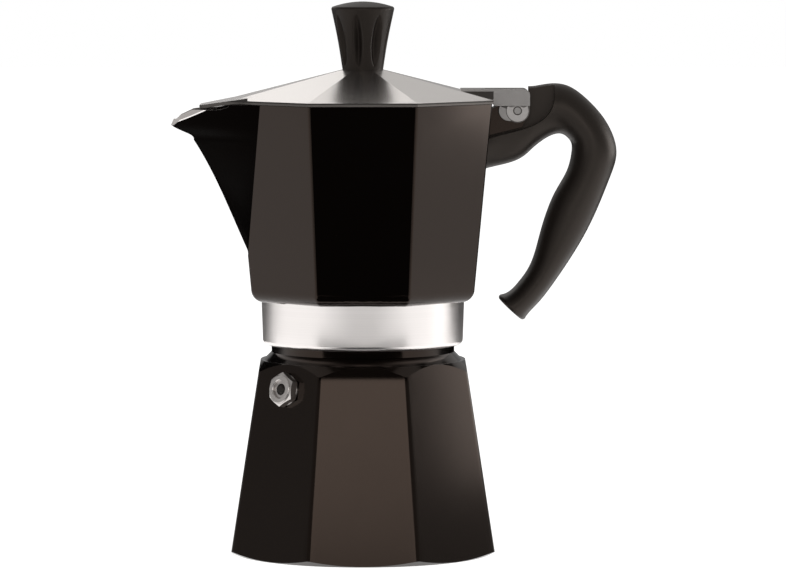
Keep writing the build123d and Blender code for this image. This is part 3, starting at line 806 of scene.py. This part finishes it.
def valve_nut():
    """Copy of the valve's body with its hexagon turned off to a round face, and a collar in front."""
    nut = casting_from("valve_body", "relief_valve_nut", "boiler")
    axis = Vector(VALVE_AXIS)
    turn = axis.to_track_quat("Z", "Y")
    deselect_all()
    bpy.ops.mesh.primitive_cone_add(
        vertices=NUT_STEPS,
        radius1=(NUT_FACE_RADIUS + NUT_SLOPE * NUT_DEPTH) * MM,
        radius2=NUT_FACE_RADIUS * MM,
        depth=NUT_DEPTH * MM,
        location=Vector(VALVE_SEAT) * MM + axis * (NUT_FRONT - NUT_DEPTH / 2) * MM,
        rotation=turn.to_euler(),
    )
    turning = bpy.context.object
    make_active(nut)
    cut = nut.modifiers.new("turned_face", "BOOLEAN")
    cut.operation = "INTERSECT"
    cut.solver = "EXACT"
    cut.object = turning
    bpy.ops.object.modifier_apply(modifier=cut.name)
    bpy.data.objects.remove(turning)
    bpy.ops.object.mode_set(mode="EDIT")
    bpy.ops.mesh.select_all(action="SELECT")
    bpy.ops.mesh.customdata_custom_splitnormals_clear()
    bpy.ops.mesh.remove_doubles(threshold=SEAM_MERGE)
    bpy.ops.mesh.dissolve_limited(angle_limit=math.radians(NUT_FLAT))
    bpy.ops.object.mode_set(mode="OBJECT")
    bpy.ops.object.shade_smooth_by_angle(angle=math.radians(CASTING_SMOOTH))
    outline = [
        (COLLAR_INNER, COLLAR_BACK), (COLLAR_INNER, COLLAR_FRONT - COLLAR_EDGE),
        (COLLAR_INNER + COLLAR_EDGE, COLLAR_FRONT), (COLLAR_OUTER - COLLAR_EDGE, COLLAR_FRONT),
        (COLLAR_OUTER, COLLAR_FRONT - COLLAR_EDGE), (COLLAR_OUTER, COLLAR_BACK), (COLLAR_INNER, COLLAR_BACK),
    ]
    collar = lathe("valve_collar", outline, ROUND_STEPS, even_turn)
    collar.data.transform(Matrix.Translation(Vector(VALVE_SEAT) * MM) @ turn.to_matrix().to_4x4())
    collar.select_set(True)
    nut.select_set(True)
    bpy.context.view_layer.objects.active = nut
    bpy.ops.object.join()
    set_material(nut, nickel)


valve_nut()

spring = casting_from("valve_spring", "relief_valve_spring", "boiler")
set_material(spring, steel)
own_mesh(spring)


# Screw threads of neck and skirt, half a pitch apart so that they pass between each other


def thread_ridge(name, body, root, crest, foot, material):
    """One helical ridge that runs out into its wall at both ends."""
    steps = int(THREAD_STEPS * THREAD_TURNS)
    deselect_all()
    bpy.ops.mesh.primitive_plane_add(size=1.0)
    ridge = bpy.context.object
    ridge.name = name
    ridge.data.name = name
    bpy.ops.object.mode_set(mode="EDIT")
    bpy.ops.mesh.select_all(action="SELECT")
    bpy.ops.mesh.delete(type="ONLY_FACE")
    bpy.ops.object.mode_set(mode="OBJECT")
    outline = (
        (root, -THREAD_ROOT / 2), (crest, -THREAD_CREST / 2),
        (root, THREAD_ROOT / 2), (crest, THREAD_CREST / 2),
    )
    for vertex, (radius, height) in zip(ridge.data.vertices, outline):
        vertex.co = (radius * MM, 0, (foot + height) * MM)
    screw = ridge.modifiers.new("helix", "SCREW")
    screw.axis = "Z"
    screw.angle = 2 * math.pi * THREAD_TURNS
    screw.screw_offset = THREAD_PITCH * THREAD_TURNS * MM
    screw.steps = screw.render_steps = steps
    bpy.ops.object.modifier_apply(modifier=screw.name)
    for index, vertex in enumerate(ridge.data.vertices):
        step = index // len(outline)
        share = min(1.0, step / THREAD_RUN_OUT, (steps - step) / THREAD_RUN_OUT)
        reach = math.hypot(vertex.co.x, vertex.co.y) / MM
        wanted = root + (reach - root) * share
        vertex.co.x *= wanted / reach
        vertex.co.y *= wanted / reach
    bpy.ops.object.mode_set(mode="EDIT")
    bpy.ops.mesh.select_all(action="DESELECT")
    bpy.ops.mesh.select_non_manifold()
    bpy.ops.mesh.edge_face_add()
    bpy.ops.mesh.select_all(action="SELECT")
    bpy.ops.mesh.normals_make_consistent(inside=False)
    bpy.ops.object.mode_set(mode="OBJECT")
    off_crest = [abs(math.hypot(face.center.x, face.center.y) / MM - crest) for face in ridge.data.polygons]
    crest_face = ridge.data.polygons[off_crest.index(min(off_crest))]
    if outward(crest_face) * (crest - root) < 0:
        bpy.ops.object.mode_set(mode="EDIT")
        bpy.ops.mesh.flip_normals()
        bpy.ops.object.mode_set(mode="OBJECT")
    bpy.ops.object.shade_smooth_by_angle(angle=math.radians(THREAD_SMOOTH))
    set_material(ridge, material)
    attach(ridge, body)


thread_ridge(
    "neck_thread", "boiler",
    NECK_RADIUS - THREAD_SUNK, NECK_RADIUS + THREAD_RISE, NECK_THREAD_FOOT, cast_metal,
)
thread_ridge(
    "skirt_thread", "jug",
    SKIRT_BORE + THREAD_SUNK, SKIRT_BORE - THREAD_RISE, SKIRT_THREAD_FOOT, ring_metal,
)


# Finishes of the solids that show as they are

node_materials = {
    "column_cap": cast_metal,
    "funnel_cup": spun_metal,
    "funnel_tube": spun_metal,
    "funnel_strainer": spun_metal,
    "filter_plate": spun_metal,
    "handle": plastic,
    "gasket": rubber,
    "hinge_pin": ear_metal,
    "valve_retainer": nickel,
    "valve_piston": dark_metal_and_painted_shade,
    "valve_washer": steel,
    "knob_insert": nickel,
    "knob_washer": steel,
    "knob_screw": steel,
}
for node, material in node_materials.items():
    set_material(nodes[node], material)


# Camera: a little above the knob, two metres in front of the pot

camera_data = bpy.data.cameras.new("camera")
camera_data.sensor_width = SENSOR_WIDTH
camera_data.lens = PIXELS_PER_RADIAN * camera_data.sensor_width / IMAGE_WIDTH
camera = bpy.data.objects.new("camera", camera_data)
camera.location = CAMERA_PLACE
camera.rotation_euler = (math.radians(90 - CAMERA_DIP), 0.0, math.radians(CAMERA_TURN))
scene.collection.objects.link(camera)
scene.camera = camera


# Stage: white floor and sky, soft panels of light, and cards for the reflections


def make_world():
    """White to the camera; its light grows from the front to the back of the studio."""
    world = bpy.data.worlds.new("studio")
    world.use_nodes = True
    tree = world.node_tree
    tree.nodes.clear()
    output = tree.nodes.new("ShaderNodeOutputWorld")
    path = tree.nodes.new("ShaderNodeLightPath")
    seen = tree.nodes.new("ShaderNodeBackground")
    seen.inputs["Color"].default_value = (1, 1, 1, 1)
    light = tree.nodes.new("ShaderNodeBackground")
    direction = tree.nodes.new("ShaderNodeTexCoord").outputs["Generated"]
    parts = tree.nodes.new("ShaderNodeSeparateXYZ")
    tree.links.new(direction, parts.inputs[0])
    back = tree.nodes.new("ShaderNodeMapRange")
    back.interpolation_type = "SMOOTHSTEP"
    back.inputs["From Min"].default_value = SKY_FROM
    back.inputs["From Max"].default_value = SKY_TO
    back.inputs["To Min"].default_value = SKY_IN_FRONT
    back.inputs["To Max"].default_value = SKY_BEHIND
    tree.links.new(parts.outputs["Y"], back.inputs["Value"])
    tree.links.new(back.outputs[0], light.inputs["Strength"])
    light.inputs["Color"].default_value = (*LAMP_COLOUR, 1)
    mix = tree.nodes.new("ShaderNodeMixShader")
    tree.links.new(path.outputs["Is Camera Ray"], mix.inputs[0])
    tree.links.new(light.outputs[0], mix.inputs[1])
    tree.links.new(seen.outputs[0], mix.inputs[2])
    tree.links.new(mix.outputs[0], output.inputs["Surface"])
    scene.world = world


def make_floor():
    deselect_all()
    bpy.ops.mesh.primitive_plane_add(size=FLOOR_WIDTH, location=(0, 0, FLOOR_LEVEL))
    floor = bpy.context.object
    floor.name = "floor"
    material = bpy.data.materials.new("white_floor")
    material.use_nodes = True
    tree = material.node_tree
    shader = tree.nodes["Principled BSDF"]
    shader.inputs["Base Color"].default_value = (FLOOR_GREY, FLOOR_GREY, FLOOR_GREY, 1)
    shader.inputs["Roughness"].default_value = FLOOR_ROUGHNESS
    shader.inputs["Specular IOR Level"].default_value = 0.0
    shader.inputs["Emission Color"].default_value = (1, 1, 1, 1)
    shader.inputs["Emission Strength"].default_value = FLOOR_GLOW
    set_material(floor, material)


def panel(name, place, aim, size, power):
    """Soft rectangular lamp at a place, turned to a point."""
    data = bpy.data.lights.new(name, "AREA")
    data.shape = "RECTANGLE"
    data.size, data.size_y = size
    data.energy = power
    data.color = LAMP_COLOUR
    lamp = bpy.data.objects.new(name, data)
    scene.collection.objects.link(lamp)
    lamp.location = place
    direction = Vector(aim) - Vector(place)
    lamp.rotation_euler = direction.to_track_quat("-Z", "Y").to_euler()


def card(name, corners, level=0.0):
    """Dark or grey card that only shows in gloss; its corners go left to right, first row then second."""
    deselect_all()
    bpy.ops.mesh.primitive_plane_add(size=1.0)
    board = bpy.context.object
    board.name = name
    for vertex, corner in zip(board.data.vertices, corners):
        vertex.co = corner
    material = bpy.data.materials.new(name)
    material.use_nodes = True
    shader = material.node_tree.nodes["Principled BSDF"]
    shader.inputs["Base Color"].default_value = (CARD_BLACK, CARD_BLACK, CARD_BLACK, 1)
    shader.inputs["Emission Color"].default_value = (1, 1, 1, 1)
    shader.inputs["Emission Strength"].default_value = level
    shader.inputs["Roughness"].default_value = 1.0
    shader.inputs["Specular IOR Level"].default_value = 0.0
    set_material(board, material)
    board.visible_camera = False
    board.visible_diffuse = False
    board.visible_shadow = False


def upright(start, end, low, high):
    """Corners of a standing card over the floor line from start to end."""
    return [(*start, low), (*end, low), (*start, high), (*end, high)]


def flat(west, east, near, far, height):
    """Corners of a card that lies on the floor."""
    return [(west, near, height), (east, near, height), (west, far, height), (east, far, height)]


make_world()
make_floor()
panel("top_panel", (0.0, 0.1, 1.3), (0, 0, 0.1), (1.6, 1.6), 1.6)
panel("front_panel", (0.0, -2.3, 0.75), (0, 0, 0.1), (0.9, 0.7), 4.2)
panel("right_panel", (0.55, 0.176, 0.215), (0, 0.176, 0.215), (0.388, 0.27), 0.9)
panel("back_left_panel", (-0.5, 1.5, 0.85), (0, 0, 0.15), (0.8, 0.6), 0.95)
panel("back_top_panel", (0.05, 1.4, 1.3), (0, 0, 0.15), (0.6, 0.35), 0.5)
card("neck_flag", upright((-0.045, -0.056), (0.045, -0.056), 0.0745, 0.0805))
card("left_back_flag", upright((-0.122, 0.045), (-0.048, 0.095), 0.1, 0.16))
card("front_card", flat(-0.4, 0.4, -1.13, -0.33, 0.001), 0.62)
card("near_card", flat(-0.08, 0.08, -0.33, -0.07, 0.0012))
card("back_right_card", flat(0.0, 3.0, 0.3, 6.0, 0.001))
card("back_left_card", flat(-3.0, 0.0, 0.45, 6.0, 0.001))
card("back_low_card", upright((-1.3, 1.7), (1.3, 1.7), 0.0, 0.6), 0.3)
